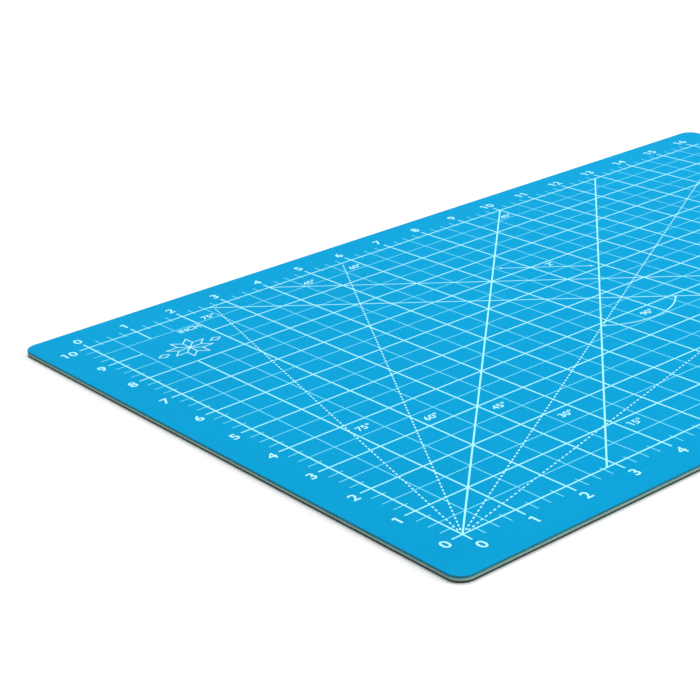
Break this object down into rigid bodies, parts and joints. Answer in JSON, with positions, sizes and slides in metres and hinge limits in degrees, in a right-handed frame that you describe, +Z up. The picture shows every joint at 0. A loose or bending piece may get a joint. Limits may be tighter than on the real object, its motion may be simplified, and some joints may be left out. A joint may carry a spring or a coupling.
{
  "type": "self healing cutting mat",
  "caption": "Laminated self healing cutting mat with a printed inch grid, edge numerals and angle guides, for cutting leather, card and cloth flat on a bench.",
  "frame": {"origin": "middle of the underside, on the surface the mat lies on", "axes": "+X along the long side, +Y from the front long side to the back one, +Z up out of the printed inch face"},
  "size_m": [0.45, 0.3, 0.0027],
  "materials": {
    "top_sheet": "matte, fine pebbled",
    "core_sheet": "cut edge, matte",
    "bottom_sheet": "matte",
    "print_ink": "screen-printed ink film, matte"
  },
  "bodies": {
    "root": {"bottom_sheet": "bottom_sheet", "core_sheet": "core_sheet", "top_sheet": "top_sheet", "inch_grid_print": "print_ink", "left_numerals_print": "print_ink", "right_numerals_print": "print_ink", "front_numerals_print": "print_ink", "back_numerals_print": "print_ink", "angle_labels_print": "print_ink", "spacing_label_print": "print_ink", "unit_label_print": "print_ink", "star_emblem_print": "print_ink"}
  },
  "joints": []
}
